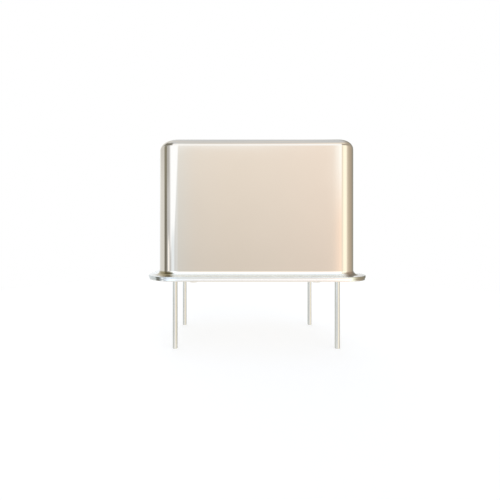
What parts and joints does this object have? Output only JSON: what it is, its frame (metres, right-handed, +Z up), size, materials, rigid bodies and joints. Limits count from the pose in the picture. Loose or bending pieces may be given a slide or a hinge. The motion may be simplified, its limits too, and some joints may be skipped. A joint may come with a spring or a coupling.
{
  "type": "crystal oscillator",
  "caption": "Crystal oscillator: a tall drawn metal can with a welded flange, standing on thin leads that solder into a circuit board.",
  "frame": {"origin": "centre of the lead pattern, in the plane of the circuit board that the stand-offs rest on", "axes": "+X along the long side, -Y the front, +Z up out of the circuit board; the leads point to -Z"},
  "size_m": [0.0202, 0.0128, 0.0193],
  "materials": {
    "cover": "gloss",
    "base": "satin",
    "lead": "gloss",
    "glass_seal": "gloss",
    "braze": "satin",
    "circuit_board": "satin",
    "solder": "gloss",
    "crystal_metal": "gloss",
    "spring_clip": "satin",
    "quartz": "gloss",
    "electrode": "satin",
    "cement": "matte",
    "chip_body": "matte",
    "chip_lead": "satin",
    "capacitor": "satin",
    "resistor": "satin"
  },
  "bodies": {
    "root": {"cover": "cover", "base": "base", "lead_1_control": "lead", "lead_7_ground": "lead", "lead_8_output": "lead", "lead_14_supply": "lead", "seal_1": "glass_seal", "seal_7_braze": "braze", "seal_8": "glass_seal", "seal_14": "glass_seal", "circuit_board": "circuit_board", "lead_solder": "solder", "crystal_can": "crystal_metal", "crystal_base": "crystal_metal", "crystal_seal_left": "glass_seal", "crystal_seal_right": "glass_seal", "crystal_lead_left": "lead", "crystal_lead_right": "lead", "crystal_solder": "solder", "clip_left": "spring_clip", "clip_right": "spring_clip", "quartz_blank": "quartz", "electrode_front": "electrode", "electrode_back": "electrode", "cement_left": "cement", "cement_right": "cement", "oscillator_chip": "chip_body", "chip_leads": "chip_lead", "load_capacitor_left": "capacitor", "load_capacitor_right": "capacitor", "supply_capacitor": "capacitor", "feedback_resistor": "resistor", "output_resistor": "resistor", "small_part_solder": "solder"}
  },
  "joints": []
}
